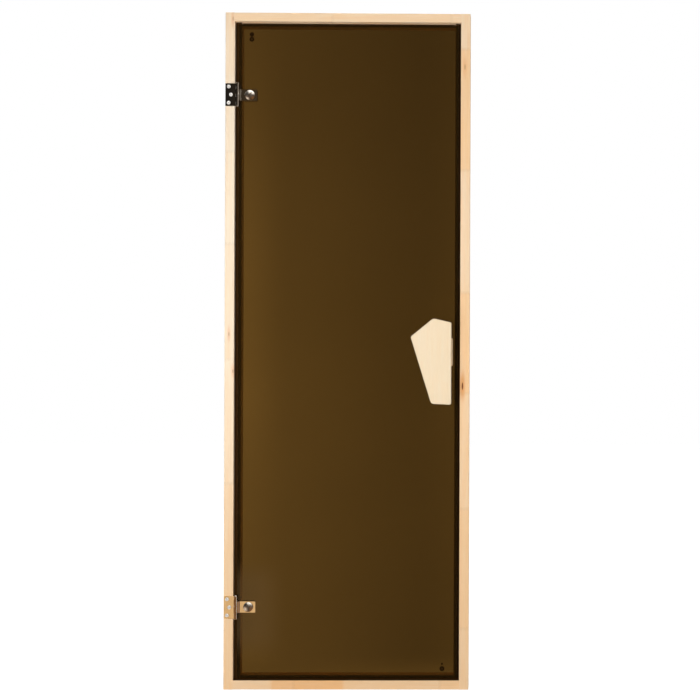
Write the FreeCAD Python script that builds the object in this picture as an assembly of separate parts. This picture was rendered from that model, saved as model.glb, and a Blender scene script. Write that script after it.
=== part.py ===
import FreeCAD, Part
import math
import os

V = FreeCAD.Vector

# Sauna door set: a bronze glass leaf in a rebated softwood frame, closed.
# X runs to the right seen from the outside, Y into the sauna, Z up.
# The origin is the middle of the threshold's underside. Millimetres.

# Frame, made for a rough opening with a fitting gap all round
rough_width = 700.0
rough_height = 1900.0
fitting_gap = 10.0
frame_depth = 48.0
jamb_lip = 26.0
head_lip = 24.0
threshold_lip = 25.0
hinge_stop = 18.0
latch_stop = 16.0
head_stop = 12.0
threshold_stop = 12.0
edge_ease = 1.8

# Glass leaf
glass_thickness = 8.0
glass_recess = 6.0
hinge_side_gap = 10.0
latch_side_gap = 6.0
head_gap = 6.5
threshold_gap = 6.0
glass_arris = 0.8
glass_hole_clearance = 2.5

# Rubber seal in a groove of the stop, its flange reaching out to the lip
seal_space = 3.5
seal_glass_gap = 0.5
seal_width = 6.4
seal_flange = 1.0
seal_inset = 4.4
groove_width = 3.0
groove_depth = 6.0
groove_clearance = 0.2
seal_foot_inset = 3.0

# Hinges
hinge_inset = 229.0
frame_plate_height = 63.0
plate_thickness = 3.0
plate_edge_inset = 1.0
plate_corner = 2.0
axis_from_edge = 34.0
barrel_radius = 4.5
pin_radius = 2.5
pin_clearance = 0.05
pin_cap_height = 1.6
pin_cap_chamfer = 1.0
middle_knuckle = 38.0
knuckle_gap = 0.4
knuckle_relief = 1.0
screw_head_radius = 5.0
screw_head_height = 2.2
screw_head_chamfer = 1.2
screw_shank_radius = 2.2
screw_hole_clearance = 0.3
screw_pilot_clearance = 0.1
screw_length = 26.0
screw_from_edge = 10.3
screw_pitch = 45.0
middle_screw_from_edge = 16.4

# Glass clamp of each hinge
clamp_height = 31.0
clamp_reach = 54.0
crank_start = 6.0
gasket_thickness = 1.5
gasket_margin = 0.6
back_plate_start = 15.0
bolt_from_axis = 34.0
bolt_shank_radius = 5.0
bolt_head_radius = 13.5
bolt_head_height = 6.0
bolt_rim_height = 2.2
bolt_clearance = 0.3
coin_slot_width = 3.0
coin_slot_depth = 1.8
upper_slot_angle = 50.0
lower_slot_angle = -67.0
boss_radius = 9.0
boss_height = 6.0
boss_chamfer = 1.2

# Handle: the same five-sided grip on both faces of the glass
grip_from_latch_edge = 17.0
grip_foot_height = 794.0
grip_height = 238.0
grip_width = 112.0
grip_thickness = 20.0
grip_apex_from_edge = 50.0
grip_shoulder_drop = 11.5
grip_nose_drop = 51.0
grip_foot_width = 55.0
grip_foot_rise = 3.0
grip_ease = 3.2
standoff_depth = 30.0
standoff_height = 78.0
standoff_width = 30.0
standoff_proud = 2.5
standoff_above_foot = 106.0
standoff_corner = 4.0
pad_thickness = 1.5
handle_bolt_radius = 3.0
handle_bolt_pitch = 48.0
handle_bolt_anchor = 22.0
handle_bolt_clearance = 0.3

frame_width = rough_width - 2 * fitting_gap
frame_height = rough_height - 2 * fitting_gap
left = -frame_width / 2
right = frame_width / 2
front = -frame_depth / 2
back = frame_depth / 2
glass_front = front + glass_recess
glass_back = glass_front + glass_thickness
rebate = glass_back + seal_space
stop_thickness = back - rebate
daylight_left = left + jamb_lip + hinge_stop
daylight_right = right - jamb_lip - latch_stop
daylight_low = threshold_lip + threshold_stop
daylight_high = frame_height - head_lip - head_stop
glass_left = left + jamb_lip + hinge_side_gap
glass_right = right - jamb_lip - latch_side_gap
glass_low = threshold_lip + threshold_gap
glass_high = frame_height - head_lip - head_gap
axis_x = left + axis_from_edge
axis_y = front - barrel_radius
bolt_x = axis_x + bolt_from_axis
grip_edge = glass_right - grip_from_latch_edge
standoff_edge = grip_edge + standoff_proud
standoff_low = grip_foot_height + standoff_above_foot
standoff_middle = standoff_low + standoff_height / 2

os.makedirs("parts", exist_ok=True)


def save(name, shape):
    shape.exportStep("parts/" + name + ".step")


def block(x0, x1, y0, y1, z0, z1):
    return Part.makeBox(x1 - x0, y1 - y0, z1 - z0, V(x0, y0, z0))


def rounded_face(points, radii):
    """A planar face through the points, each corner rounded by its radius."""
    count = len(points)
    entries, exits, middles = [], [], []
    for i in range(count):
        corner = points[i]
        before = (points[i - 1] - corner).normalize()
        after = (points[(i + 1) % count] - corner).normalize()
        half_angle = before.getAngle(after) / 2
        reach = radii[i] / math.tan(half_angle)
        bisector = (before + after).normalize()
        entries.append(corner + before * reach)
        exits.append(corner + after * reach)
        middles.append(corner + bisector * (radii[i] / math.sin(half_angle) - radii[i]))
    edges = []
    for i in range(count):
        if radii[i] > 0:
            edges.append(Part.Arc(entries[i], middles[i], exits[i]).toShape())
        following = (i + 1) % count
        if exits[i].distanceToPoint(entries[following]) > 1e-6:
            edges.append(Part.LineSegment(exits[i], entries[following]).toShape())
    return Part.Face(Part.Wire(edges))


def plan_prism(corners, radii, z0, z1):
    """A solid from an outline in plan, as (x, y) corners, between two heights."""
    face = rounded_face([V(x, y, z0) for x, y in corners], radii)
    return face.extrude(V(0, 0, z1 - z0))


def rod_y(x, z, radius, y0, y1):
    return Part.makeCylinder(radius, y1 - y0, V(x, y0, z), V(0, 1, 0))


def rod_z(x, y, radius, z0, z1):
    return Part.makeCylinder(radius, z1 - z0, V(x, y, z0))


# The rebated section is drawn once as (inward from the outer edge, y).
def member_section(lip, stop, lip_ease):
    inner = lip + stop
    corners = [(0, front), (lip, front), (lip, rebate), (inner, rebate), (inner, back), (0, back)]
    radii = [edge_ease, lip_ease, 0, edge_ease, edge_ease, edge_ease]
    return corners, radii


def make_jamb(stop, edge, inward):
    """A full-height jamb; its lip stays sharp, so that the rails butt flush against it."""
    corners, radii = member_section(jamb_lip, stop, 0)
    corners = [(edge + inward * u, y) for u, y in corners]
    return plan_prism(corners, radii, 0, frame_height)


def make_rail(lip, stop, edge, inward):
    """A head or threshold between the jambs, its ends coped over the jambs' stops."""
    corners, radii = member_section(lip, stop, edge_ease)
    x0 = left + jamb_lip
    x1 = right - jamb_lip
    face = rounded_face([V(x0, y, edge + inward * u) for u, y in corners], radii)
    rail = face.extrude(V(x1 - x0, 0, 0))
    hinge_end = block(left, daylight_left, rebate, back, 0, frame_height)
    latch_end = block(daylight_right, right, rebate, back, 0, frame_height)
    return rail.cut(hinge_end).cut(latch_end)


# The seal's centre lines run round the stop, inside the glass edge.
seal_left = daylight_left - seal_inset
seal_right = daylight_right + seal_inset
seal_low = daylight_low - seal_inset
seal_high = daylight_high + seal_inset
seal_half = seal_width / 2
seal_crown = glass_back + seal_glass_gap
seal_foot = threshold_lip + groove_clearance
seal_top = frame_height - head_lip - groove_clearance
level_seal_start = seal_left + seal_half + groove_clearance
level_seal_end = seal_right - seal_half - groove_clearance


def flange_reach(stop):
    return stop - seal_inset - groove_clearance


def seal_face(place, reach):
    """Barb, flange and crowned lip of the seal; place turns (outward, y) into a point."""
    barb = groove_width / 2 - groove_clearance
    barb_end = rebate + groove_depth - groove_clearance
    flange_top = rebate - seal_flange
    outline = [(-seal_half, flange_top), (-seal_half, rebate), (-barb, rebate), (-barb, barb_end),
               (barb, barb_end), (barb, rebate), (reach, rebate), (reach, flange_top)]
    if reach > seal_half:
        outline.append((seal_half, flange_top))
    points = [place(u, y) for u, y in outline]
    edges = [Part.LineSegment(a, b).toShape() for a, b in zip(points, points[1:])]
    edges.append(Part.Arc(points[-1], place(0, seal_crown), points[0]).toShape())
    return Part.Face(Part.Wire(edges))


def upright_seal(x, reach, outward):
    z0, z1 = seal_foot, seal_top
    return seal_face(lambda u, y: V(x + outward * u, y, z0), reach).extrude(V(0, 0, z1 - z0))


def level_seal(z, reach, outward):
    x0, x1 = level_seal_start, level_seal_end
    return seal_face(lambda u, y: V(x0, y, z + outward * u), reach).extrude(V(x1 - x0, 0, 0))


def make_threshold_seal():
    """The threshold's seal also has a foot that lies on the sill in front of the stop."""
    foot_front = front + seal_foot_inset
    foot_top = threshold_lip + seal_flange
    strip = block(left + jamb_lip + groove_clearance, right - jamb_lip - groove_clearance,
                  foot_front, seal_crown - groove_clearance, threshold_lip, foot_top)
    root = block(level_seal_start, level_seal_end, foot_front, rebate - seal_flange / 2,
                 threshold_lip, foot_top)
    return level_seal(seal_low, flange_reach(threshold_stop), -1).fuse([strip, root]).removeSplitter()


def seal_grooves():
    half = groove_width / 2
    deep = rebate + groove_depth
    z0, z1 = seal_foot, seal_top
    upright = [block(x - half, x + half, rebate, deep, z0, z1) for x in (seal_left, seal_right)]
    level = [block(seal_left, seal_right, rebate, deep, z - half, z + half) for z in (seal_low, seal_high)]
    return upright + level


hinge_heights = {"upper": frame_height - hinge_inset, "lower": hinge_inset}
slot_angles = {"upper": upper_slot_angle, "lower": lower_slot_angle}


def screw_places(z):
    return [(left + screw_from_edge, z + screw_pitch / 2), (left + middle_screw_from_edge, z),
            (left + screw_from_edge, z - screw_pitch / 2)]


def screw_pilots():
    pilots = []
    for z in hinge_heights.values():
        for x, height in screw_places(z):
            radius = screw_shank_radius + screw_pilot_clearance
            pilots.append(rod_y(x, height, radius, front, front + screw_length))
    return pilots


grooves = seal_grooves()
save("hinge_jamb", make_jamb(hinge_stop, left, 1).cut(grooves + screw_pilots()))
save("latch_jamb", make_jamb(latch_stop, right, -1).cut(grooves))
save("head_rail", make_rail(head_lip, head_stop, frame_height, -1).cut(grooves))
save("threshold", make_rail(threshold_lip, threshold_stop, 0, 1).cut(grooves))
save("hinge_side_seal", upright_seal(seal_left, flange_reach(hinge_stop), -1))
save("latch_side_seal", upright_seal(seal_right, flange_reach(latch_stop), 1))
save("head_seal", level_seal(seal_high, seal_half, 1))
save("threshold_seal", make_threshold_seal())

handle_bolt_x = standoff_edge - standoff_width / 2
handle_bolt_heights = [standoff_middle - handle_bolt_pitch / 2, standoff_middle + handle_bolt_pitch / 2]


def make_glass():
    glass = block(glass_left, glass_right, glass_front, glass_back, glass_low, glass_high)
    glass = glass.makeChamfer(glass_arris, glass.Edges)
    for z in hinge_heights.values():
        radius = bolt_shank_radius + glass_hole_clearance
        glass = glass.cut(rod_y(bolt_x, z, radius, glass_front, glass_back))
    for z in handle_bolt_heights:
        radius = handle_bolt_radius + glass_hole_clearance
        glass = glass.cut(rod_y(handle_bolt_x, z, radius, glass_front, glass_back))
    return glass


save("glass_leaf", make_glass())


def make_frame_plate(z):
    """The fixed leaf: a plate on the jamb's face with a rolled knuckle at each end."""
    half = frame_plate_height / 2
    x0 = left + plate_edge_inset
    outline = [V(x0, front - plate_thickness, z - half), V(axis_x, front - plate_thickness, z - half),
               V(axis_x, front - plate_thickness, z + half), V(x0, front - plate_thickness, z + half)]
    plate = rounded_face(outline, [plate_corner, 0, 0, plate_corner]).extrude(V(0, plate_thickness, 0))
    relief = rod_z(axis_x, axis_y, barrel_radius + knuckle_relief,
                   z - middle_knuckle / 2, z + middle_knuckle / 2)
    plate = plate.fuse(rod_z(axis_x, axis_y, barrel_radius, z - half, z + half)).cut(relief)
    tail = block(axis_x - barrel_radius, axis_x, front - plate_thickness, front,
                 z - middle_knuckle / 2, z + middle_knuckle / 2)
    plate = plate.cut(tail)
    plate = plate.cut(rod_z(axis_x, axis_y, pin_radius + pin_clearance, z - half, z + half))
    for x, height in screw_places(z):
        radius = screw_shank_radius + screw_hole_clearance
        plate = plate.cut(rod_y(x, height, radius, front - plate_thickness, front))
    return plate.removeSplitter()


def domed_head(x, z, radius, rim, height, y):
    """A head on the plane y with a spherical crown towards the outside."""
    dome = height - rim
    sphere = (radius ** 2 + dome ** 2) / (2 * dome)
    half = radius / 2
    middle_drop = sphere - math.sqrt(sphere ** 2 - half ** 2)
    crown = V(x, y - height, z)
    centre = V(x, y, z)
    foot = V(x + radius, y, z)
    rim_edge = V(x + radius, y - rim, z)
    edges = [Part.LineSegment(centre, foot).toShape(), Part.LineSegment(foot, rim_edge).toShape(),
             Part.Arc(rim_edge, V(x + half, y - height + middle_drop, z), crown).toShape(),
             Part.LineSegment(crown, centre).toShape()]
    return Part.Face(Part.Wire(edges)).revolve(centre, V(0, 1, 0), 360)


def chamfered_disc(base, axis, radius, height, chamfer):
    """A disc from base along axis, its far rim chamfered."""
    disc = Part.makeCylinder(radius, height, base, axis)
    far = base + axis * height
    rim = [e for e in disc.Edges if e.CenterOfMass.distanceToPoint(far) < 1e-3]
    return disc.makeChamfer(chamfer, rim)


def make_screws(z):
    screws = []
    seat = front - plate_thickness
    for x, height in screw_places(z):
        head = chamfered_disc(V(x, seat, height), V(0, -1, 0), screw_head_radius, screw_head_height,
                              screw_head_chamfer)
        screws.append(head.fuse(rod_y(x, height, screw_shank_radius, seat, front + screw_length - 1)))
    return Part.makeCompound(screws)


def make_pin(z):
    half = frame_plate_height / 2
    pin = rod_z(axis_x, axis_y, pin_radius, z - half, z + half)
    for end, way in ((z + half, 1), (z - half, -1)):
        cap = chamfered_disc(V(axis_x, axis_y, end), V(0, 0, way), barrel_radius,
                             pin_cap_height, pin_cap_chamfer)
        pin = pin.fuse(cap)
    return pin


def make_clamp_plate(z):
    """The moving leaf: middle knuckle, crank back to the glass and flat clamp plate."""
    half = clamp_height / 2
    seat = glass_front - gasket_thickness
    face = seat - plate_thickness
    step = face - (front - plate_thickness)
    end = axis_x + clamp_reach
    start = axis_x + crank_start
    lean = plate_thickness * math.tan(math.radians(22.5))
    corners = [(axis_x, front - plate_thickness), (start, front - plate_thickness), (start + step, face),
               (end, face), (end, seat), (start + step - lean, seat), (start - lean, front), (axis_x, front)]
    bend = plate_thickness / 2
    plate = plan_prism(corners, [0, bend, bend, 0, 0, bend, bend, 0], z - half, z + half)
    end_edges = [e for e in plate.Edges if abs(e.CenterOfMass.x - end) < 1e-3]
    corner_edges = [e for e in end_edges if abs(e.Length - plate_thickness) < 1e-3]
    plate = plate.makeFillet(plate_corner, corner_edges)
    knuckle_half = middle_knuckle / 2 - knuckle_gap
    plate = plate.fuse(rod_z(axis_x, axis_y, barrel_radius, z - knuckle_half, z + knuckle_half))
    plate = plate.cut(rod_z(axis_x, axis_y, pin_radius + pin_clearance, z - knuckle_half, z + knuckle_half))
    plate = plate.cut(rod_y(bolt_x, z, bolt_shank_radius + bolt_clearance, face - 1, seat + 1))
    return plate.removeSplitter()


def make_clamp_sheet(z, x0, x1, y0, y1, margin):
    """A flat rectangle on the glass with the clamp bolt's hole, plate or gasket."""
    half = clamp_height / 2 - margin
    outline = [V(x0 + margin, y0, z - half), V(x1 - margin, y0, z - half),
               V(x1 - margin, y0, z + half), V(x0 + margin, y0, z + half)]
    sheet = rounded_face(outline, [plate_corner] * 4).extrude(V(0, y1 - y0, 0))
    return sheet.cut(rod_y(bolt_x, z, bolt_shank_radius + bolt_clearance, y0, y1))


def make_back_plate(z):
    y0 = glass_back + gasket_thickness
    y1 = y0 + plate_thickness
    plate = make_clamp_sheet(z, axis_x + back_plate_start, axis_x + clamp_reach, y0, y1, 0)
    boss = chamfered_disc(V(bolt_x, y1, z), V(0, 1, 0), boss_radius, boss_height, boss_chamfer)
    bore = rod_y(bolt_x, z, bolt_shank_radius + bolt_clearance, y1, y1 + boss_height / 2)
    return plate.fuse(boss.cut(bore)).removeSplitter()


def make_clamp_bolt(z, angle):
    seat = glass_front - gasket_thickness - plate_thickness
    head = domed_head(bolt_x, z, bolt_head_radius, bolt_rim_height, bolt_head_height, seat)
    floor = seat - bolt_head_height + coin_slot_depth
    slot = block(bolt_x - 2 * bolt_head_radius, bolt_x + 2 * bolt_head_radius, floor - bolt_head_height, floor,
                 z - coin_slot_width / 2, z + coin_slot_width / 2)
    slot.rotate(V(bolt_x, 0, z), V(0, -1, 0), angle)
    shank_end = glass_back + gasket_thickness + plate_thickness + boss_height / 2 - bolt_clearance
    return head.cut(slot).fuse(rod_y(bolt_x, z, bolt_shank_radius, seat, shank_end))


for place, height in hinge_heights.items():
    gasket_start = axis_x + back_plate_start
    gasket_end = axis_x + clamp_reach
    save(place + "_frame_plate", make_frame_plate(height))
    save(place + "_plate_screws", make_screws(height))
    save(place + "_hinge_pin", make_pin(height))
    save(place + "_clamp_plate", make_clamp_plate(height))
    save(place + "_front_gasket", make_clamp_sheet(height, gasket_start, gasket_end,
                                                   glass_front - gasket_thickness, glass_front, gasket_margin))
    save(place + "_back_gasket", make_clamp_sheet(height, gasket_start, gasket_end,
                                                  glass_back, glass_back + gasket_thickness, gasket_margin))
    save(place + "_back_plate", make_back_plate(height))
    save(place + "_clamp_bolt", make_clamp_bolt(height, slot_angles[place]))


def make_grip(y0, y1):
    """The five-sided wooden grip between two planes, all its edges eased."""
    top = grip_foot_height + grip_height
    corners = [(grip_edge - grip_apex_from_edge, top), (grip_edge, top - grip_shoulder_drop),
               (grip_edge, grip_foot_height), (grip_edge - grip_foot_width, grip_foot_height + grip_foot_rise),
               (grip_edge - grip_width, top - grip_nose_drop)]
    radii = [grip_ease * 4, grip_ease * 1.5, grip_ease * 1.5, grip_ease * 3.5, grip_ease * 2]
    grip = rounded_face([V(x, y0, z) for x, z in corners], radii).extrude(V(0, y1 - y0, 0))
    rims = [e for e in grip.Edges if min(abs(e.CenterOfMass.y - y0), abs(e.CenterOfMass.y - y1)) < 1e-3]
    return grip.makeFillet(grip_ease, rims)


def make_standoff(y0, y1, margin):
    """The block between the grip and the glass, or the thin pad under it."""
    x0, x1 = standoff_edge - standoff_width + margin, standoff_edge - margin
    z0, z1 = standoff_low + margin, standoff_low + standoff_height - margin
    outline = [V(x0, y0, z0), V(x1, y0, z0), V(x1, y0, z1), V(x0, y0, z1)]
    piece = rounded_face(outline, [standoff_corner] * 4).extrude(V(0, y1 - y0, 0))
    bores = [rod_y(handle_bolt_x, z, handle_bolt_radius + handle_bolt_clearance,
                   glass_front - pad_thickness - handle_bolt_anchor,
                   glass_back + pad_thickness + handle_bolt_anchor) for z in handle_bolt_heights]
    return piece.cut(bores)


outer_seat = glass_front - pad_thickness
outer_face = outer_seat - standoff_depth
inner_seat = glass_back + pad_thickness
inner_face = inner_seat + standoff_depth
save("outer_grip", make_grip(outer_face - grip_thickness, outer_face))
save("outer_standoff", make_standoff(outer_face, outer_seat, 0))
save("outer_pad", make_standoff(outer_seat, glass_front, gasket_margin))
save("inner_pad", make_standoff(glass_back, inner_seat, gasket_margin))
save("inner_standoff", make_standoff(inner_seat, inner_face, 0))
save("inner_grip", make_grip(inner_face, inner_face + grip_thickness))

bolt_end = handle_bolt_anchor - handle_bolt_clearance
save("handle_bolts", Part.makeCompound([
    rod_y(handle_bolt_x, z, handle_bolt_radius, outer_seat - bolt_end, inner_seat + bolt_end)
    for z in handle_bolt_heights]))
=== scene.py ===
import math

import bmesh
import bpy
from mathutils import Matrix, Vector


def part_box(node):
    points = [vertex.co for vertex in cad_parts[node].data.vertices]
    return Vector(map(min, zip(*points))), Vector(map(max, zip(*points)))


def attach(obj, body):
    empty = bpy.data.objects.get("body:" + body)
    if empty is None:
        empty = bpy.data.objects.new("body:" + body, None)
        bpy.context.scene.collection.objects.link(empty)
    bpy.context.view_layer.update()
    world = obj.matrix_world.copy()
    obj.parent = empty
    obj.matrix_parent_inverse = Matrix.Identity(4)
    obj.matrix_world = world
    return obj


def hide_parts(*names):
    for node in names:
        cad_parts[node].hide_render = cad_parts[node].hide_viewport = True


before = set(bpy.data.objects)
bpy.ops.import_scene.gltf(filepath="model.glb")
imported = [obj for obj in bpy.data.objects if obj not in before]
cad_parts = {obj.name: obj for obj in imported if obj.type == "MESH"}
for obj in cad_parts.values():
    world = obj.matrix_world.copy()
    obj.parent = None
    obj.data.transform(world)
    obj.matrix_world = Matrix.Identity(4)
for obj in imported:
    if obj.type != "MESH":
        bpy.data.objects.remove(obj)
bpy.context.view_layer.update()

bl_info = {
    "name": "Sauna door finish",
    "version": (1, 0, 0),
    "blender": (4, 5, 0),
    "location": "3D View > Sidebar > Sauna door",
    "description": "Wood, bronze glass, polished hinges, screws, corner marks and a studio for a sauna door",
    "category": "Object",
}

HINGES = ("upper", "lower")
GLASS_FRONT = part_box("glass_leaf")[0].y
FRAME_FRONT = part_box("hinge_jamb")[0].y
FRAME_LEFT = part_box("hinge_jamb")[0].x
SEAL_SPACE = 0.0035
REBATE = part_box("glass_leaf")[1].y + SEAL_SPACE
TURN_TO_Y = math.pi / 2

# Finger-jointed softwood: shifts from block to block, the pith beside the board and the figure's scales.
SEED_STEP = 7.3
BLOCK_SHIFT = 5.0
PITH_SPREAD = 0.09
PITH_DEPTH = 0.055
WANDER_SCALE = 1.6
STREAK_SCALE = 150.0
STREAK_STRETCH = 0.06
FIBRE_SCALE = 1800.0
FIBRE_STRETCH = 0.02
JOINT_LINE = (0.0016, 0.0004)
KNOT_STRETCH = 5.0

# What polished pieces mirror, by direction. Slant is the way to the right and slope the way up for
# each unit out from the door. Patches have their heading and radii in degrees.
BOARD_LEFT = (-0.30, -0.24)
BOARD_RIGHT = (-0.165, -0.192)
BOARD_TOP = (-0.165, -0.188)
BOARD_FOOT = (-0.25, -0.222)
WALL_EDGE = (-0.209, -0.203)
WALL_FOOT = (0.02, 0.10)
PANEL_PATCH = {"across": 25.0, "up": 62.0, "inner": 32.0, "outer": 40.0}
CARD_PATCH = {"across": -50.0, "up": -32.0, "inner": 10.0, "outer": 22.0}


def length_value(label, text, default, top=1.0):
    return bpy.props.FloatProperty(name=label, description=text, default=default, min=0.0, max=top,
                                   precision=5, unit="LENGTH")


def share_value(label, text, default, top=1.0):
    return bpy.props.FloatProperty(name=label, description=text, default=default, min=0.0, max=top)


def power_value(label, text, default):
    return bpy.props.FloatProperty(name=label, description=text, default=default, min=0.0, unit="POWER")


def colour_value(label, text, default, top=1.0):
    return bpy.props.FloatVectorProperty(name=label, description=text, default=default, size=3,
                                         min=0.0, max=top, subtype="COLOR")


class DoorWoodSettings(bpy.types.PropertyGroup):
    pale: colour_value("Pale wood", "Palest tone of the sanded softwood", (0.92, 0.79, 0.62))
    warm: colour_value("Warm wood", "Warmest tone of the sanded softwood", (0.91, 0.60, 0.33))
    grip_pale: colour_value("Grip wood", "Palest tone of the grips", (0.89, 0.745, 0.545))
    grip_warm: colour_value("Grip streaks", "Warmer streaks of the grips", (0.88, 0.66, 0.41))
    knot: colour_value("Knot", "Heart of a small knot", (0.16, 0.045, 0.012))
    amber: colour_value("Amber block", "Tone of a darker block", (0.90, 0.46, 0.16))
    halo: colour_value("Halo", "Resin-rich wood round a knot", (0.76, 0.33, 0.10))
    block: length_value("Block length", "Mean length of a finger-jointed block", 0.34)
    finger: length_value("Finger length", "Length of the joint's glued fingers", 0.009)
    finger_pitch: length_value("Finger pitch", "Distance from finger to finger", 0.0038)
    ring: length_value("Ring spacing", "Width of a year ring", 0.0024)
    block_contrast: share_value("Block contrast", "How much the blocks differ in tone", 0.45)
    grip_contrast: share_value("Grip contrast", "How much the two grips differ in tone", 0.1)
    amber_share: share_value("Amber share", "How far the amber block takes its tone", 0.5)
    # Painted light: how far the jamb fades to the pale tone round its lit height, a pool of light painted
    # into the wood.
    painted_light_share: share_value("Pale share", "How far a jamb fades to the pale tone", 0.75)


class DoorGlassSettings(bpy.types.PropertyGroup):
    tint: colour_value("Glass tint", "White light after it has passed the leaf", (0.138, 0.0690, 0.0136))
    clear: share_value("Clear share", "Share of light that the slightly satin glass passes unscattered", 0.90)
    mark: colour_value("Mark", "Baked print of the corner marks", (0.010, 0.004, 0.0006))
    ring_radius: length_value("Mark ring", "Outer radius of the mark's ring", 0.0068)
    ring_width: length_value("Mark line", "Width of the mark's ring", 0.0052)
    dot_radius: length_value("Mark dot", "Radius of the upper mark's dot", 0.0062)
    small_dot_radius: length_value("Small dot", "Radius of the lower mark's dot", 0.0027)
    dot_rise: length_value("Dot rise", "Dot over the middle of the ring", 0.0132)
    print_depth: length_value("Print", "Thickness of the baked print", 0.00005)
    upper_inset_x: length_value("Upper mark inset", "Upper mark from the glass's hinge edge", 0.0362)
    upper_inset_z: length_value("Upper mark drop", "Upper mark from the glass's top edge", 0.0422)
    lower_inset_x: length_value("Lower mark inset", "Lower mark from the glass's latch edge", 0.0415)
    lower_inset_z: length_value("Lower mark rise", "Lower mark from the glass's bottom edge", 0.0260)


class DoorMetalSettings(bpy.types.PropertyGroup):
    chrome: colour_value("Chrome", "Mirror colour of the hinges", (0.80, 0.79, 0.77))
    # Near-white: with the screws' partly diffuse finish it paints the highlight of their polished domed
    # heads; the hidden handle bolts share it.
    steel: colour_value("Screw steel", "Colour of the screws", (0.96, 0.95, 0.92))
    polish: share_value("Polish", "Roughness of the polished plates", 0.06)
    turned: share_value("Turned", "Roughness of the turned clamp bolts", 0.34)
    satin: share_value("Satin", "Roughness of the screws", 0.55)
    rubber: colour_value("Rubber", "Seals, gaskets and pads", (0.032, 0.013, 0.002))
    flange_thickness: length_value("Flange", "Thickness of the head seal's flange", 0.001)
    flange_width: length_value("Flange width", "How far the head seal's flange reaches out", 0.0024)
    flange_gap: length_value("Flange seat", "Gap between the flange and what it lies on", 0.0001)
    plate: length_value("Plate", "Thickness of the hinge plates", 0.003)
    screw_edge: length_value("Screw edge", "Outer screws from the frame's edge", 0.0103)
    screw_middle: length_value("Middle screw edge", "Middle screw from the frame's edge", 0.0164)
    screw_pitch: length_value("Screw pitch", "Outer screws from each other", 0.045)
    head_radius: length_value("Head radius", "Radius of a plate screw's head", 0.005)
    head_height: length_value("Head height", "Height of a plate screw's head", 0.0022)
    crown_radius: length_value("Crown radius", "Radius of the head's crown", 0.014)
    shank_radius: length_value("Shank radius", "Radius of a plate screw's shank", 0.0022)
    shank_length: length_value("Shank length", "Shank from the head's seat", 0.027)
    recess_width: length_value("Recess width", "Width of a cross recess's arm", 0.0009)
    recess_span: length_value("Recess span", "Length of a cross recess's arms", 0.0046)
    recess_depth: length_value("Recess depth", "Depth of the cross recess", 0.0012)


class DoorStageSettings(bpy.types.PropertyGroup):
    camera_x: bpy.props.FloatProperty(name="Camera across", description="Camera to the right of the middle",
                                      default=0.42, unit="LENGTH")
    distance: length_value("Camera distance", "Camera from the frame's front", 3.5, 20.0)
    camera_z: length_value("Camera height", "Camera over the floor", 0.9455, 5.0)
    turn: bpy.props.FloatProperty(name="Turn", description="Camera turned to the right",
                                  default=math.radians(0.7), unit="ROTATION")
    roll: bpy.props.FloatProperty(name="Roll", description="Camera rolled about its line of sight",
                                  default=math.radians(0.2), unit="ROTATION")
    lens: bpy.props.FloatProperty(name="Lens", description="Focal length in millimetres",
                                  default=64.67, min=1.0)
    shift: bpy.props.FloatProperty(name="Shift", description="Sideways lens shift of the framing",
                                   default=-0.2336)
    fill: share_value("Fill", "Light from all round", 0.235)
    key_power: power_value("Key lamp", "Power of the lamp in front", 62.0)
    side_power: power_value("Side lamp", "Power of the lamp at the right", 19.0)
    low_power: power_value("Low lamp", "Power of the lamp that lights the head rail from below", 1.3)
    top_power: power_value("Top lamp", "Power of the lamp over the door", 30.0)
    back_power: power_value("Back lamp", "Power of the lamp behind", 60.0)
    room: colour_value("Dark room", "What mirrors show of the room in front", (0.012, 0.011, 0.010))
    brown: colour_value("Brown wall", "What mirrors show high beside the dark room", (0.06, 0.040, 0.022))
    card: colour_value("Card", "Pale card that mirrors show low at the left", (1.3, 1.05, 0.80), 4.0)
    board: colour_value("Warm board", "Low warm board that mirrors show at the left", (0.90, 0.55, 0.245))
    ground: colour_value("Dim floor", "What mirrors show low in front", (0.24, 0.10, 0.03))
    panel: colour_value("Pale panel", "Pale panel that mirrors show high in front", (2.2, 2.0, 1.75), 4.0)
    bright: colour_value("Bright side", "What mirrors show at the right and behind", (1.5, 1.35, 1.2), 4.0)


def put(tree, kind, inputs=None, **settings):
    """A new node with its settings; an input takes a value or another node's socket."""
    node = tree.nodes.new(kind)
    for name, value in settings.items():
        setattr(node, name, value)
    for key, value in (inputs or {}).items():
        if isinstance(value, bpy.types.NodeSocket):
            tree.links.new(value, node.inputs[key])
        else:
            node.inputs[key].default_value = value
    return node


def calc(tree, operation, first, second=0.0, clamp=False):
    inputs = {0: first, 1: second}
    return put(tree, "ShaderNodeMath", inputs, operation=operation, use_clamp=clamp).outputs[0]


def ease(tree, value, start, end, low=0.0, high=1.0):
    """A smooth step from low at start to high at end."""
    inputs = {"Value": value, "From Min": start, "From Max": end, "To Min": low, "To Max": high}
    return put(tree, "ShaderNodeMapRange", inputs, interpolation_type="SMOOTHSTEP").outputs[0]


def blend(tree, factor, first, second, mode="MIX"):
    node = put(tree, "ShaderNodeMix", {"Factor": factor}, data_type="RGBA", blend_type=mode)
    for socket, value in ((node.inputs[6], first), (node.inputs[7], second)):
        if isinstance(value, bpy.types.NodeSocket):
            tree.links.new(value, socket)
        else:
            socket.default_value = (*value, 1.0)
    return node.outputs[2]


def vector(tree, x, y, z):
    return put(tree, "ShaderNodeCombineXYZ", {"X": x, "Y": y, "Z": z}).outputs[0]


def grey(tree, level):
    return vector(tree, level, level, level)


def length(tree, value):
    return put(tree, "ShaderNodeVectorMath", {0: value}, operation="LENGTH").outputs["Value"]


def noise(tree, place, scale, detail=3.0, roughness=0.5):
    inputs = {"Vector": place, "Scale": scale, "Detail": detail, "Roughness": roughness}
    return put(tree, "ShaderNodeTexNoise", inputs).outputs[0]


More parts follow.
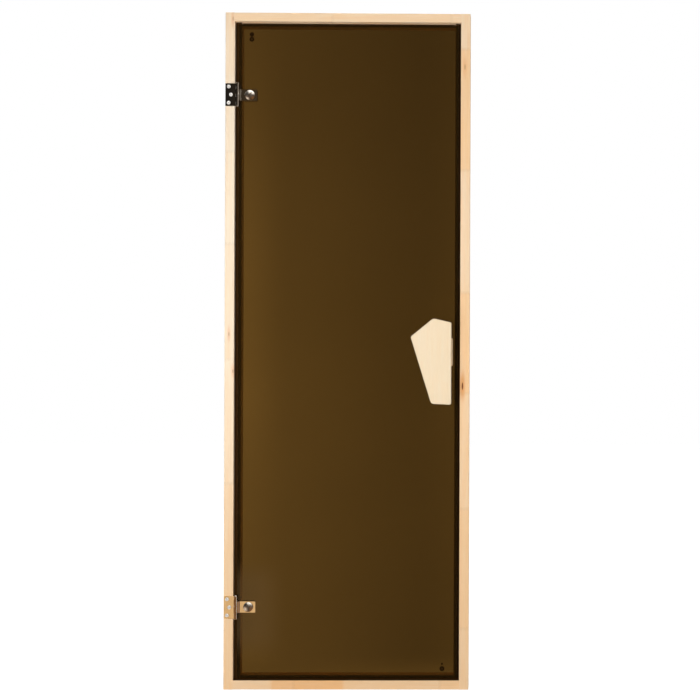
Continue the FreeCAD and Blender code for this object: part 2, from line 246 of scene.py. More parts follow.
def bump(tree, height, strength, distance):
    inputs = {"Height": height, "Strength": strength, "Distance": distance}
    return put(tree, "ShaderNodeBump", inputs).outputs[0]


def new_material(name):
    """An empty material: its tree, its Principled node and its object coordinates."""
    material = bpy.data.materials.new(name)
    material.use_nodes = True
    tree = material.node_tree
    place = put(tree, "ShaderNodeTexCoord").outputs["Object"]
    return material, tree, tree.nodes["Principled BSDF"], place


def finish_node(node, material):
    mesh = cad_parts[node].data
    mesh.materials.clear()
    mesh.materials.append(material)


def add_piece(name, mesh, body, material):
    piece = bpy.data.objects.new(name, mesh)
    bpy.context.scene.collection.objects.link(piece)
    if not mesh.materials:
        mesh.materials.append(material)
    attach(piece, body)
    return piece


def year_rings(tree, across, deep, wander, spacing, pith):
    """Late wood of each ring, from the distance to a wandering pith beside the board."""
    u = calc(tree, "ADD", calc(tree, "MULTIPLY", wander, 0.020), calc(tree, "ADD", across, pith[0]))
    v = calc(tree, "ADD", calc(tree, "MULTIPLY", wander, 0.012), calc(tree, "ADD", deep, pith[1]))
    radius = length(tree, vector(tree, u, v, 0.0))
    share = calc(tree, "FRACT", calc(tree, "DIVIDE", radius, spacing))
    late = ease(tree, share, 0.45, 0.92)
    return calc(tree, "MULTIPLY", late, ease(tree, share, 1.0, 0.94))


def knot_mask(tree, across, run, knot):
    """Heart and halo of a small knot at (across, run) with its radius and darkness."""
    u = calc(tree, "DIVIDE", calc(tree, "SUBTRACT", across, knot[0]), knot[2])
    w = calc(tree, "DIVIDE", calc(tree, "SUBTRACT", run, knot[1]), knot[2] * KNOT_STRETCH)
    reach = length(tree, vector(tree, u, w, 0.0))
    return ease(tree, reach, 1.1, 0.6, 0.0, knot[3]), ease(tree, reach, 5.0, 0.8, 0.0, knot[3] * 0.8)


def wood_blocks(tree, wood, across, run, seed):
    """Random tone, turn and start of each block, the distance to its joint and the run along its fingers."""
    teeth = calc(tree, "PINGPONG", across, wood.finger_pitch / 2)
    teeth = calc(tree, "MULTIPLY", teeth, 2 * wood.finger / wood.finger_pitch)
    toothed = calc(tree, "ADD", run, teeth)
    cell = calc(tree, "ADD", calc(tree, "DIVIDE", toothed, wood.block), seed * SEED_STEP)
    inputs = {"W": cell, "Scale": 1.0, "Randomness": 0.85}
    blocks = put(tree, "ShaderNodeTexVoronoi", inputs, voronoi_dimensions="1D").outputs["Color"]
    edge = put(tree, "ShaderNodeTexVoronoi", inputs, voronoi_dimensions="1D",
               feature="DISTANCE_TO_EDGE").outputs["Distance"]
    tone, turn, start = put(tree, "ShaderNodeSeparateColor", {0: blocks}).outputs
    return tone, turn, start, edge, toothed


def amber_inside(tree, toothed, amber):
    """1 between the start and the end of the amber block."""
    return calc(tree, "MULTIPLY", calc(tree, "GREATER_THAN", toothed, amber[0]),
                calc(tree, "LESS_THAN", toothed, amber[1]))


def make_wood(name, along, pale, warm, seed, warmth, painted_light_height=None, knots=(), amber=None, joints=True):
    """Sanded softwood with finger-jointed blocks, year rings, fibres and small knots.

    along is the axis of the grain. warmth is the mean share of the warm tone. Round the given height a jamb
    may fade to the pale tone: painted light, a pool of light at that height, not a change in the wood.
    amber is the start and the end of a darker block.
    """
    wood = bpy.context.scene.door_wood
    material, tree, shader, place = new_material(name)
    x, y, z = put(tree, "ShaderNodeSeparateXYZ", {0: place}).outputs
    across, run = (x, z) if along == "Z" else (z, x)
    tone, turn, start, edge, toothed = wood_blocks(tree, wood, across, run, seed)

    run_in_block = calc(tree, "ADD", run, calc(tree, "MULTIPLY", start, BLOCK_SHIFT))
    wander = noise(tree, vector(tree, seed, turn, run_in_block), WANDER_SCALE, 2.0)
    pith = (calc(tree, "MULTIPLY", turn, PITH_SPREAD), PITH_DEPTH)
    rings = year_rings(tree, across, y, wander, wood.ring, pith)
    slow = calc(tree, "MULTIPLY", run_in_block, STREAK_STRETCH)
    streak = noise(tree, vector(tree, across, y, calc(tree, "ADD", slow, seed)), STREAK_SCALE, 4.0, 0.6)
    slow = calc(tree, "MULTIPLY", run_in_block, FIBRE_STRETCH)
    fibre = noise(tree, vector(tree, across, y, slow), FIBRE_SCALE, 3.0, 0.7)

    contrast = wood.block_contrast if joints else wood.grip_contrast
    factor = calc(tree, "ADD", calc(tree, "MULTIPLY", calc(tree, "SUBTRACT", tone, 0.5), contrast), warmth)
    factor = calc(tree, "ADD", factor, calc(tree, "MULTIPLY", calc(tree, "SUBTRACT", streak, 0.5), 0.9))
    factor = calc(tree, "ADD", factor, calc(tree, "MULTIPLY", rings, 0.30))
    # Painted light: the wood turns paler round the given height, standing in for a pool of light on the jamb.
    if painted_light_height is not None:
        away = calc(tree, "ABSOLUTE", calc(tree, "SUBTRACT", run, painted_light_height))
        factor = calc(tree, "SUBTRACT", factor, ease(tree, away, 1.15, 0.05, 0.0, wood.painted_light_share))
    factor = calc(tree, "ADD", factor, 0.0, clamp=True)
    colour = blend(tree, factor, tuple(pale), tuple(warm))
    if amber is not None:
        share = calc(tree, "MULTIPLY", amber_inside(tree, toothed, amber), wood.amber_share)
        colour = blend(tree, share, colour, tuple(wood.amber))
    fine = ease(tree, fibre, 0.25, 0.6, 0.93, 1.0)
    colour = blend(tree, 1.0, colour, grey(tree, fine), "MULTIPLY")
    if joints:
        line = ease(tree, edge, JOINT_LINE[0] / wood.block, JOINT_LINE[1] / wood.block, 0.0, 0.22)
        colour = blend(tree, line, colour, tuple(wood.knot))
    for knot in knots:
        heart, halo = knot_mask(tree, across, run, knot)
        colour = blend(tree, halo, colour, tuple(wood.halo))
        colour = blend(tree, heart, colour, tuple(wood.knot))
    tree.links.new(colour, shader.inputs["Base Color"])
    tree.links.new(ease(tree, streak, 0.3, 0.7, 0.50, 0.62), shader.inputs["Roughness"])
    height = calc(tree, "ADD", calc(tree, "MULTIPLY", rings, 0.35), fibre)
    tree.links.new(bump(tree, height, 0.25, 0.0002), shader.inputs["Normal"])
    shader.inputs["Specular IOR Level"].default_value = 0.35
    return material


def make_metal(name, colour, roughness, scratches, metallic=1.0):
    """Polished or satin metal with hairlines that rough the shine."""
    material, tree, shader, place = new_material(name)
    stretch = put(tree, "ShaderNodeMapping", {"Vector": place, "Scale": (1.0, 1.0, 0.05)}).outputs[0]
    hairs = noise(tree, stretch, 2600.0, 4.0, 0.7)
    cloud = noise(tree, place, 60.0, 2.0)
    dull = calc(tree, "MULTIPLY", cloud, 0.5)
    dull = calc(tree, "ADD", dull, calc(tree, "MULTIPLY", hairs, 0.5))
    tree.links.new(ease(tree, dull, 0.2, 0.8, roughness * 0.7, roughness * 1.4), shader.inputs["Roughness"])
    worn = ease(tree, cloud, 0.2, 0.9, 1.0, 0.93)
    tree.links.new(blend(tree, 1.0, tuple(colour), grey(tree, worn), "MULTIPLY"), shader.inputs["Base Color"])
    tree.links.new(bump(tree, hairs, scratches, 0.00002), shader.inputs["Normal"])
    shader.inputs["Metallic"].default_value = metallic
    return material


def make_rubber():
    material, tree, shader, place = new_material("seal_rubber")
    grit = noise(tree, place, 900.0, 5.0, 0.7)
    colour = tuple(bpy.context.scene.door_metal.rubber)
    dusty = tuple(min(1.0, c * 1.8) for c in colour)
    tree.links.new(blend(tree, ease(tree, grit, 0.4, 0.8), colour, dusty), shader.inputs["Base Color"])
    tree.links.new(ease(tree, grit, 0.2, 0.8, 0.62, 0.8), shader.inputs["Roughness"])
    tree.links.new(bump(tree, grit, 0.3, 0.0001), shader.inputs["Normal"])
    shader.inputs["Specular IOR Level"].default_value = 0.15
    return material


def make_glass():
    """Bronze glass; the tint varies by a few hundredths from place to place."""
    settings = bpy.context.scene.door_glass
    material, tree, shader, place = new_material("bronze_glass")
    cloud = noise(tree, place, 1.3, 2.0)
    deep = tuple(c * 0.95 for c in settings.tint)
    clear = tuple(c * 1.06 for c in settings.tint)
    tree.links.new(blend(tree, ease(tree, cloud, 0.3, 0.7), deep, clear), shader.inputs["Base Color"])
    shader.inputs["Transmission Weight"].default_value = settings.clear
    shader.inputs["Roughness"].default_value = 0.0
    shader.inputs["IOR"].default_value = 1.5
    shader.inputs["Specular IOR Level"].default_value = 0.12
    return material


class DOOR_OT_frame_wood(bpy.types.Operator):
    """Finish the jambs, head rail and threshold as finger-jointed softwood"""
    bl_idname = "door.frame_wood"
    bl_label = "Frame wood"

    def execute(self, context):
        wood = context.scene.door_wood
        left = FRAME_LEFT
        right = -FRAME_LEFT
        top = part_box("hinge_jamb")[1].z
        # Each knot has its place across and along the grain, its radius and its darkness.
        hinge_knots = ((left + 0.0125, 0.987, 0.0013, 0.5), (left + 0.0235, 0.884, 0.0013, 0.5),
                       (left + 0.021, top - 0.017, 0.0014, 0.5))
        latch_knots = ((right - 0.015, 1.7325, 0.0018, 0.45), (right - 0.0190, 0.8445, 0.0023, 1.0))
        # The hinge jamb's 1.22 is the height of a painted pool of light, where its wood turns paler.
        members = (("hinge_jamb", "Z", 1.0, 0.80, 1.22, hinge_knots, None),
                   ("latch_jamb", "Z", 2.0, 0.78, None, latch_knots, None),
                   ("head_rail", "X", 3.0, 0.66, None, (), None),
                   ("threshold", "X", 4.0, 0.85, None, (), (-0.203, -0.003)))
        for name, along, seed, warmth, painted_light_height, knots, amber in members:
            grain = make_wood(name + "_wood", along, wood.pale, wood.warm, seed, warmth,
                              painted_light_height, knots, amber)
            finish_node(name, grain)
        return {"FINISHED"}


class DOOR_OT_rubber(bpy.types.Operator):
    """Finish the seals, gaskets and pads as dark rubber"""
    bl_idname = "door.rubber"
    bl_label = "Rubber"

    def execute(self, context):
        rubber = make_rubber()
        soft = [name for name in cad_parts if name.endswith(("_seal", "_gasket", "_pad"))]
        if not soft:
            raise RuntimeError("the frame has no seals, gaskets or pads")
        for name in soft:
            finish_node(name, rubber)
        return {"FINISHED"}


class DOOR_OT_head_flange(bpy.types.Operator):
    """Add the thin flange along the top of the head seal; its dark rubber over the stop's face also stands in
    for the shade in the recess above the glass
    """
    bl_idname = "door.head_flange"
    bl_label = "Head seal flange"

    def execute(self, context):
        metal = context.scene.door_metal
        low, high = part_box("head_seal")
        seat = REBATE - metal.flange_gap
        tip = REBATE - metal.flange_thickness
        bead = tip - metal.flange_thickness / 2
        start = high.z + metal.flange_gap
        top = start + metal.flange_width
        shoulder = top - metal.flange_thickness
        profile = ((seat, start), (tip, start), (tip, shoulder - metal.flange_thickness / 2),
                   (bead, shoulder), (bead, shoulder + metal.flange_thickness / 2), (tip, top), (seat, top))
        left, right = low.x + metal.flange_thickness, high.x - metal.flange_thickness
        mesh = bmesh.new()
        ends = [[mesh.verts.new((x, y, z)) for y, z in profile] for x in (left, right)]
        mesh.faces.new(ends[0])
        mesh.faces.new(ends[1][::-1])
        for i in range(len(profile)):
            j = (i + 1) % len(profile)
            mesh.faces.new((ends[0][j], ends[0][i], ends[1][i], ends[1][j]))
        bmesh.ops.recalc_face_normals(mesh, faces=mesh.faces)
        data = bpy.data.meshes.new("head_seal_flange_and_shade")
        mesh.to_mesh(data)
        mesh.free()
        # Dark rubber sheet over the stop's face: partly a seal flange, partly painted shade in the recess
        # above the glass.
        add_piece("head_seal_flange_and_shade", data, "frame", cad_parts["head_seal"].data.materials[0])
        return {"FINISHED"}


class DOOR_OT_glass(bpy.types.Operator):
    """Finish the leaf as clear bronze glass"""
    bl_idname = "door.glass"
    bl_label = "Bronze glass"

    def execute(self, context):
        finish_node("glass_leaf", make_glass())
        return {"FINISHED"}


def add_disc(mesh, x, z, outer, inner, front, depth, segments=40):
    """A thin flat disc or ring on the plane y = front, towards the outside."""
    for y, turn in ((front - depth, 1), (front, -1)):
        rims = []
        for radius in (outer, inner):
            angles = [math.tau * i / segments for i in range(segments)]
            rims.append([mesh.verts.new((x + radius * math.cos(a), y, z + radius * math.sin(a)))
                         for a in angles])
        for i in range(segments):
            j = (i + 1) % segments
            face = [rims[0][i], rims[0][j], rims[1][j], rims[1][i]]
            mesh.faces.new(face if turn > 0 else face[::-1])
        if turn > 0:
            front_rims = rims
    for near, far in zip(front_rims, rims):
        for i in range(segments):
            j = (i + 1) % segments
            mesh.faces.new((near[i], far[i], far[j], near[j]))


class DOOR_OT_corner_marks(bpy.types.Operator):
    """Print a plain ring and dot at two corners of the glass"""
    bl_idname = "door.corner_marks"
    bl_label = "Corner marks"

    def execute(self, context):
        settings = context.scene.door_glass
        low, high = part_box("glass_leaf")
        material, tree, shader, place = new_material("mark_print")
        grain = noise(tree, place, 3000.0, 2.0)
        colour = tuple(settings.mark)
        lighter = tuple(c * 1.5 for c in colour)
        tree.links.new(blend(tree, grain, colour, lighter), shader.inputs["Base Color"])
        shader.inputs["Roughness"].default_value = 0.6
        shader.inputs["Specular IOR Level"].default_value = 0.05
        marks = {
            "upper_corner_mark": (low.x + settings.upper_inset_x, high.z - settings.upper_inset_z,
                                  settings.dot_radius),
            "lower_corner_mark": (high.x - settings.lower_inset_x, low.z + settings.lower_inset_z,
                                  settings.small_dot_radius),
        }
        pin_hole = 0.1
        for name, (x, z, dot_radius) in marks.items():
            mesh = bmesh.new()
            depth = settings.print_depth
            front = GLASS_FRONT - depth
            hole = settings.ring_radius - settings.ring_width
            add_disc(mesh, x, z, settings.ring_radius, hole, front, depth)
            add_disc(mesh, x, z + settings.dot_rise, dot_radius, dot_radius * pin_hole, front, depth)
            bmesh.ops.recalc_face_normals(mesh, faces=mesh.faces)
            data = bpy.data.meshes.new(name)
            mesh.to_mesh(data)
            mesh.free()
            add_piece(name, data, "leaf", material)
        return {"FINISHED"}


class DOOR_OT_hinges(bpy.types.Operator):
    """Finish the hinge plates, pins, clamps and bolts as polished metal"""
    bl_idname = "door.hinges"
    bl_label = "Hinges"

    def execute(self, context):
        metal = context.scene.door_metal
        chrome = make_metal("polished_chrome", metal.chrome, metal.polish, 0.05)
        turned = make_metal("turned_chrome", metal.chrome, metal.turned, 0.10)
        for place in HINGES:
            for part in ("frame_plate", "hinge_pin", "clamp_plate", "back_plate"):
                finish_node(place + "_" + part, chrome)
            finish_node(place + "_clamp_bolt", turned)
        return {"FINISHED"}


def screw_tree(material):
    """Node group that sets a crowned cross-recessed screw on each point, its axis along Y."""
    tree = bpy.data.node_groups.new("plate_screw", "GeometryNodeTree")
    tree.interface.new_socket(name="Geometry", in_out="OUTPUT", socket_type="NodeSocketGeometry")
    tree.interface.new_socket(name="Points", in_out="INPUT", socket_type="NodeSocketGeometry")
    for name in ("Head Radius", "Head Height", "Crown Radius", "Shank Radius", "Shank Length",
                 "Recess Width", "Recess Span", "Recess Depth"):
        tree.interface.new_socket(name=name, in_out="INPUT", socket_type="NodeSocketFloat")
    sizes = put(tree, "NodeGroupInput").outputs
    lay = (TURN_TO_Y, 0.0, 0.0)

    def moved(geometry, y, rotation=(0.0, 0.0, 0.0)):
        inputs = {"Geometry": geometry, "Translation": vector(tree, 0.0, y, 0.0), "Rotation": rotation}
        return put(tree, "GeometryNodeTransform", inputs).outputs[0]

    def cylinder(radius, depth, sides):
        inputs = {"Vertices": sides, "Radius": radius, "Depth": depth}
        return put(tree, "GeometryNodeMeshCylinder", inputs).outputs["Mesh"]

    def cut(operation, first, others):
        node = put(tree, "GeometryNodeMeshBoolean", operation=operation)
        if first is not None:
            tree.links.new(first, node.inputs["Mesh 1"])
        for other in others:
            tree.links.new(other, node.inputs["Mesh 2"])
        return node.outputs["Mesh"]

    height = sizes["Head Height"]
    rim = moved(cylinder(sizes["Head Radius"], height, 48), calc(tree, "MULTIPLY", height, -0.5), lay)
    ball = put(tree, "GeometryNodeMeshUVSphere",
               {"Segments": 64, "Rings": 48, "Radius": sizes["Crown Radius"]}).outputs["Mesh"]
    crown = moved(ball, calc(tree, "SUBTRACT", sizes["Crown Radius"], height), lay)
    head = cut("INTERSECT", None, (rim, crown))
    shank = moved(cylinder(sizes["Shank Radius"], sizes["Shank Length"], 24),
                  calc(tree, "MULTIPLY", sizes["Shank Length"], 0.499), lay)
    whole = cut("UNION", None, (head, shank))
    arms = []
    deep = calc(tree, "MULTIPLY", sizes["Recess Depth"], 2.0)
    width, span = sizes["Recess Width"], sizes["Recess Span"]
    for wide, tall in ((width, span), (span, width)):
        box = put(tree, "GeometryNodeMeshCube", {"Size": vector(tree, wide, deep, tall)}).outputs["Mesh"]
        arms.append(moved(box, calc(tree, "MULTIPLY", height, -1.0)))
    screw = cut("DIFFERENCE", whole, arms)
    limits = {"Min": (0.0, 0.0, 0.0), "Max": (0.0, math.pi, 0.0), "Seed": 5}
    turned = put(tree, "FunctionNodeRandomValue", limits, data_type="FLOAT_VECTOR").outputs["Value"]
    spread = put(tree, "GeometryNodeInstanceOnPoints",
                 {"Points": sizes["Points"], "Instance": screw, "Rotation": turned}).outputs[0]
    solid = put(tree, "GeometryNodeRealizeInstances", {"Geometry": spread}).outputs[0]
    finished = put(tree, "GeometryNodeSetMaterial", {"Geometry": solid, "Material": material}).outputs[0]
    put(tree, "NodeGroupOutput", {0: finished})
    return tree


class DOOR_OT_plate_screws(bpy.types.Operator):
    """Set cross-recessed screws in the frame plates of both hinges"""
    bl_idname = "door.plate_screws"
    bl_label = "Plate screws"

    def execute(self, context):
        metal = context.scene.door_metal
        # Painted highlight: near-white steel, only partly metallic, lights up under the lamps like the
        # highlight on polished domed heads.
        steel = make_metal("screw_steel", metal.steel, metal.satin, 0.15, 0.4)
        tree = screw_tree(steel)
        sockets = {item.name: item.identifier for item in tree.interface.items_tree if item.in_out == "INPUT"}
        seat = FRAME_FRONT - metal.plate
        for place in HINGES:
            low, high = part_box(place + "_frame_plate")
            middle = (low.z + high.z) / 2
            places = [(FRAME_LEFT + metal.screw_edge, seat, middle + metal.screw_pitch / 2),
                      (FRAME_LEFT + metal.screw_middle, seat, middle),
                      (FRAME_LEFT + metal.screw_edge, seat, middle - metal.screw_pitch / 2)]
            points = bpy.data.meshes.new("screw_points")
            points.from_pydata(places, [], [])
            draft = bpy.data.objects.new("screw_draft", points)
            context.scene.collection.objects.link(draft)
            modifier = draft.modifiers.new("Screws", "NODES")
            modifier.node_group = tree
            for name, value in (("Head Radius", metal.head_radius), ("Head Height", metal.head_height),
                                ("Crown Radius", metal.crown_radius), ("Shank Radius", metal.shank_radius),
                                ("Shank Length", metal.shank_length), ("Recess Width", metal.recess_width),
                                ("Recess Span", metal.recess_span), ("Recess Depth", metal.recess_depth)):
                modifier[sockets[name]] = value
            evaluated = draft.evaluated_get(context.evaluated_depsgraph_get())
            data = bpy.data.meshes.new_from_object(evaluated)
            bpy.data.objects.remove(draft)
            if len(data.polygons) == 0:
                raise RuntimeError("the screw tree made no faces")
            piece = add_piece(place + "_cross_screws", data, "frame", steel)
            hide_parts(place + "_plate_screws")
        return {"FINISHED"}


class DOOR_OT_handle(bpy.types.Operator):
    """Finish the grips, standoffs and handle bolts"""
    bl_idname = "door.handle"
    bl_label = "Handle"

    def execute(self, context):
        wood = context.scene.door_wood
        metal = context.scene.door_metal
        for seed, side in enumerate(("outer", "inner")):
            grain = make_wood(side + "_grip_wood", "Z", wood.grip_pale, wood.grip_warm, 11.0 + seed, 0.25,
                              joints=False)
            finish_node(side + "_grip", grain)
            finish_node(side + "_standoff", grain)
        finish_node("handle_bolts", make_metal("bolt_steel", metal.steel, metal.satin, 0.15))
        return {"FINISHED"}


def heading(across, up):
    """Unit vector for a heading in degrees to the right of the way out of the front and above the level."""
    a, e = math.radians(across), math.radians(up)
    return math.sin(a) * math.cos(e), -math.cos(a) * math.cos(e), math.sin(e)


def round_patch(tree, way, across, up, inner, outer):
    """Round soft-edged patch of the surroundings, its heading and radii in degrees."""
    dot = put(tree, "ShaderNodeVectorMath", {0: way, 1: heading(across, up)}, operation="DOT_PRODUCT")
    return ease(tree, dot.outputs["Value"], math.cos(math.radians(outer)), math.cos(math.radians(inner)))


def mirrored_room(tree, settings):
    """What mirrors show: white at the right and behind, and a dark room in front.

    The room has a brown wall, a dim floor, a pale card low at the left, a small warm board that the
    lower hinge shows, and a pale panel high up.
    """
    way = put(tree, "ShaderNodeTexCoord").outputs["Generated"]
    x, y, z = put(tree, "ShaderNodeSeparateXYZ", {0: way}).outputs
    depth = calc(tree, "MAXIMUM", calc(tree, "MULTIPLY", y, -1.0), 0.05)
    slant = calc(tree, "DIVIDE", x, depth)
    slope = calc(tree, "DIVIDE", z, depth)
    beside = calc(tree, "ADD", ease(tree, slant, 0.02, 0.25), ease(tree, slant, -0.30, -0.55))
    beside = calc(tree, "MAXIMUM", beside, ease(tree, y, -0.5, -0.1))
    ground = calc(tree, "MULTIPLY", beside, ease(tree, z, -0.08, -0.20))
    wall = calc(tree, "MULTIPLY", ease(tree, slant, *WALL_EDGE), ease(tree, slope, *WALL_FOOT))
    room = blend(tree, wall, tuple(settings.room), tuple(settings.brown))
    room = blend(tree, ground, room, tuple(settings.ground))
    room = blend(tree, round_patch(tree, way, **CARD_PATCH), room, tuple(settings.card))
    side = calc(tree, "MULTIPLY", ease(tree, slant, *BOARD_RIGHT), ease(tree, slant, *BOARD_LEFT))
    low = calc(tree, "MULTIPLY", ease(tree, slope, *BOARD_TOP), ease(tree, slope, *BOARD_FOOT))
    board = calc(tree, "MULTIPLY", side, low)
    board = calc(tree, "MULTIPLY", board, ease(tree, y, -0.6, -0.8))
    room = blend(tree, board, room, tuple(settings.board))
    room = blend(tree, round_patch(tree, way, **PANEL_PATCH), room, tuple(settings.panel))
    room = blend(tree, ease(tree, x, 0.90, 0.96, 0.0, 0.05), room, tuple(settings.panel))
    behind = calc(tree, "MULTIPLY", ease(tree, y, -0.17, -0.10), ease(tree, x, 0.0, 0.2))
    return blend(tree, behind, room, tuple(settings.bright))


def mix(tree, factor, first, second):
    return put(tree, "ShaderNodeMixShader", {0: factor, 1: first, 2: second}).outputs[0]


def fall_off(tree, slant, slope):
    """Light on the backdrop and floor behind the door: less to the right, more at the far left.

    A dip at the left evens out the warm board that the glass mirrors there.
    """
    gentle = ease(tree, slant, -0.20, -0.04, 0.70, 0.40)
    left = calc(tree, "MULTIPLY", ease(tree, slant, -0.165, -0.205), ease(tree, slope, 0.26, 0.12, 0.45, 1.0))
    dip = calc(tree, "MULTIPLY", ease(tree, slope, *BOARD_TOP), ease(tree, slope, *BOARD_FOOT, 0.0, 0.38))
    rise = calc(tree, "SUBTRACT", ease(tree, slope, -0.12, -0.03, 0.16, 0.32), dip)
    left = calc(tree, "MULTIPLY", left, rise)
    right = ease(tree, slant, -0.062, -0.036, 0.0, 0.06)
    return calc(tree, "ADD", gentle, calc(tree, "ADD", left, right))


def only_behind(tree, behind, level):
    """The level where behind is 1, and a plain pale level elsewhere."""
    plain = calc(tree, "MULTIPLY", calc(tree, "SUBTRACT", 1.0, behind), 0.7)
    return calc(tree, "ADD", plain, calc(tree, "MULTIPLY", behind, level))


def seen_backdrop(tree):
    """The white backdrop as the glass shows it, a little less bright to the right and high up."""
    way = put(tree, "ShaderNodeTexCoord").outputs["Generated"]
    x, y, z = put(tree, "ShaderNodeSeparateXYZ", {0: way}).outputs
    depth = calc(tree, "MAXIMUM", y, 0.2)
    slope = calc(tree, "MAXIMUM", calc(tree, "DIVIDE", z, depth), -0.1)
    level = fall_off(tree, calc(tree, "DIVIDE", x, depth), slope)
    level = calc(tree, "MULTIPLY", level, ease(tree, slope, 0.0, 0.26, 1.0, 0.66))
    return only_behind(tree, ease(tree, y, 0.2, 0.6), level)


def background(tree, colour, strength):
    return put(tree, "ShaderNodeBackground", {"Color": colour, "Strength": strength}).outputs[0]


def make_world(settings):
    world = bpy.data.worlds.new("studio")
    world.use_nodes = True
    tree = world.node_tree
    tree.nodes.clear()
    rays = put(tree, "ShaderNodeLightPath").outputs
    fill = background(tree, (1.0, 0.99, 0.97, 1.0), settings.fill)
    mirror = background(tree, mirrored_room(tree, settings), 1.0)
    through = background(tree, (1.0, 1.0, 1.0, 1.0), seen_backdrop(tree))
    white = background(tree, (1.0, 1.0, 1.0, 1.0), 1.0)
    lit = mix(tree, rays["Is Glossy Ray"], fill, mirror)
    behind = mix(tree, rays["Is Transmission Ray"], lit, through)
    put(tree, "ShaderNodeOutputWorld", {"Surface": mix(tree, rays["Is Camera Ray"], behind, white)})
    bpy.context.scene.world = world


def make_floor():
    """A pale floor that the camera sees as white, apart from the shadow, and the glass like the backdrop."""
    reach = 9.0
    data = bpy.data.meshes.new("floor")
    corners = [(-reach, -reach), (reach, -reach), (reach, reach), (-reach, reach)]
    data.from_pydata([(x, y, -0.0005) for x, y in corners], [], [(0, 1, 2, 3)])
    floor = bpy.data.objects.new("floor", data)
    bpy.context.scene.collection.objects.link(floor)
    floor.visible_glossy = False
    material = bpy.data.materials.new("studio_floor")
    material.use_nodes = True
    tree = material.node_tree
    tree.nodes.clear()
    rays = put(tree, "ShaderNodeLightPath").outputs
    plain = put(tree, "ShaderNodeBsdfDiffuse", {"Color": (0.75, 0.74, 0.72, 1.0)}).outputs[0]
    soft = put(tree, "ShaderNodeBsdfDiffuse", {"Color": (0.30, 0.30, 0.30, 1.0)}).outputs[0]
    glow = put(tree, "ShaderNodeEmission", {"Color": (1.0, 1.0, 1.0, 1.0), "Strength": 0.94}).outputs[0]
    white = put(tree, "ShaderNodeAddShader", {0: soft, 1: glow}).outputs[0]
    place = put(tree, "ShaderNodeTexCoord").outputs["Object"]
    x, y, z = put(tree, "ShaderNodeSeparateXYZ", {0: place}).outputs
    settings = bpy.context.scene.door_stage
    away = calc(tree, "MAXIMUM", calc(tree, "ADD", y, settings.distance), 0.5)
    slant = calc(tree, "DIVIDE", calc(tree, "SUBTRACT", x, settings.camera_x), away)
    slope = calc(tree, "DIVIDE", -settings.camera_z, away)
    level = only_behind(tree, ease(tree, y, 0.05, 0.4), fall_off(tree, slant, slope))
    through = put(tree, "ShaderNodeEmission", {"Strength": level}).outputs[0]
    behind = mix(tree, rays["Is Transmission Ray"], plain, through)
    put(tree, "ShaderNodeOutputMaterial", {"Surface": mix(tree, rays["Is Camera Ray"], behind, white)})
    data.materials.append(material)


def add_lamp(name, place, target, width, height, power, spread=180.0):
    data = bpy.data.lights.new(name, "AREA")
    data.shape = "RECTANGLE"
    data.size = width
    data.size_y = height
    data.energy = power
    data.spread = math.radians(spread)
    lamp = bpy.data.objects.new(name, data)
    lamp.location = place
    lamp.rotation_euler = (Vector(target) - Vector(place)).to_track_quat("-Z", "Y").to_euler()
    lamp.visible_camera = False
    lamp.visible_transmission = False
    lamp.visible_glossy = False
    bpy.context.scene.collection.objects.link(lamp)


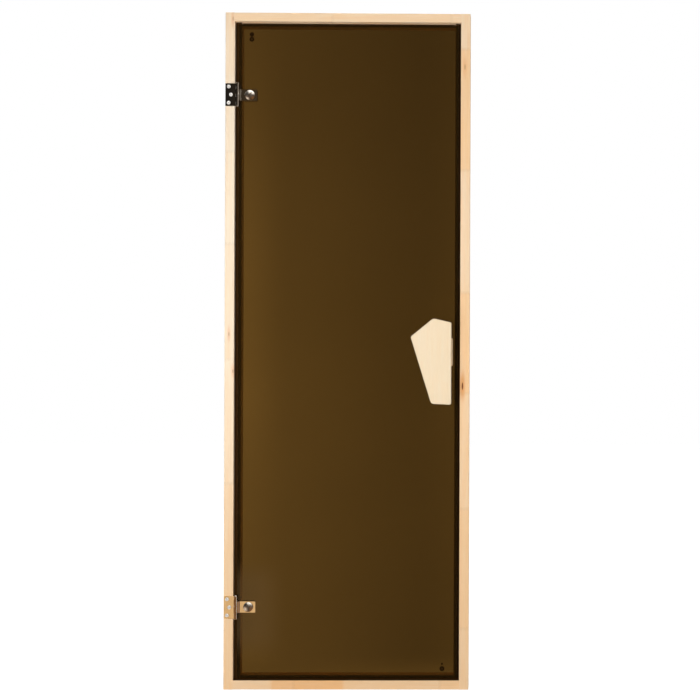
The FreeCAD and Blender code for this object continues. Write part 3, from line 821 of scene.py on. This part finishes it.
class DOOR_OT_stage(bpy.types.Operator):
    """Set the floor, the light and the camera"""
    bl_idname = "door.stage"
    bl_label = "Stage"

    def execute(self, context):
        settings = context.scene.door_stage
        make_world(settings)
        make_floor()
        middle = (0.0, 0.0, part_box("hinge_jamb")[1].z / 2)
        # Each lamp has its place, its aim, its width and height and its power.
        add_lamp("key_lamp", (-0.75, -3.3, 0.8), middle, 0.5, 0.6, settings.key_power)
        add_lamp("side_lamp", (2.7, -1.3, 1.3), middle, 1.0, 1.6, settings.side_power)
        head = (0.0, 0.0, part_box("head_rail")[0].z)
        add_lamp("low_lamp", (-0.8, -1.4, 0.12), head, 0.4, 0.3, settings.low_power, 75.0)
        add_lamp("top_lamp", (0.0, 0.0, 4.0), (0.0, 0.0, 0.0), 1.2, 1.2, settings.top_power)
        add_lamp("back_lamp", (-1.9, 2.8, 2.4), middle, 1.6, 1.6, settings.back_power)
        data = bpy.data.cameras.new("camera")
        data.lens = settings.lens
        data.shift_x = settings.shift
        camera = bpy.data.objects.new("camera", data)
        place = Matrix.Translation((settings.camera_x, FRAME_FRONT - settings.distance, settings.camera_z))
        turn = Matrix.Rotation(-settings.turn, 4, "Z") @ Matrix.Rotation(TURN_TO_Y, 4, "X")
        camera.matrix_world = place @ turn @ Matrix.Rotation(settings.roll, 4, "Z")
        context.scene.collection.objects.link(camera)
        context.scene.camera = camera
        context.scene.view_settings.view_transform = "Standard"
        return {"FINISHED"}


OPERATORS = (DOOR_OT_frame_wood, DOOR_OT_rubber, DOOR_OT_head_flange, DOOR_OT_glass, DOOR_OT_corner_marks,
             DOOR_OT_hinges, DOOR_OT_plate_screws, DOOR_OT_handle, DOOR_OT_stage)
SETTINGS = {"door_wood": DoorWoodSettings, "door_glass": DoorGlassSettings, "door_metal": DoorMetalSettings,
            "door_stage": DoorStageSettings}


class DOOR_PT_sidebar(bpy.types.Panel):
    """Lists the steps that finish the door"""
    bl_idname = "DOOR_PT_sidebar"
    bl_label = "Sauna door"
    bl_space_type = "VIEW_3D"
    bl_region_type = "UI"
    bl_category = "Sauna door"

    def draw(self, context):
        for operator in OPERATORS:
            self.layout.operator(operator.bl_idname)


def register():
    for settings in SETTINGS.values():
        bpy.utils.register_class(settings)
    for name, settings in SETTINGS.items():
        setattr(bpy.types.Scene, name, bpy.props.PointerProperty(type=settings))
    for entry in (*OPERATORS, DOOR_PT_sidebar):
        bpy.utils.register_class(entry)


def unregister():
    for entry in (DOOR_PT_sidebar, *reversed(OPERATORS)):
        bpy.utils.unregister_class(entry)
    for name in SETTINGS:
        delattr(bpy.types.Scene, name)
    for settings in SETTINGS.values():
        bpy.utils.unregister_class(settings)


def main():
    register()
    bpy.ops.door.frame_wood()
    bpy.ops.door.rubber()
    bpy.ops.door.head_flange()
    bpy.ops.door.glass()
    bpy.ops.door.corner_marks()
    bpy.ops.door.hinges()
    bpy.ops.door.plate_screws()
    bpy.ops.door.handle()
    bpy.ops.door.stage()


if __name__ == "__main__":
    main()
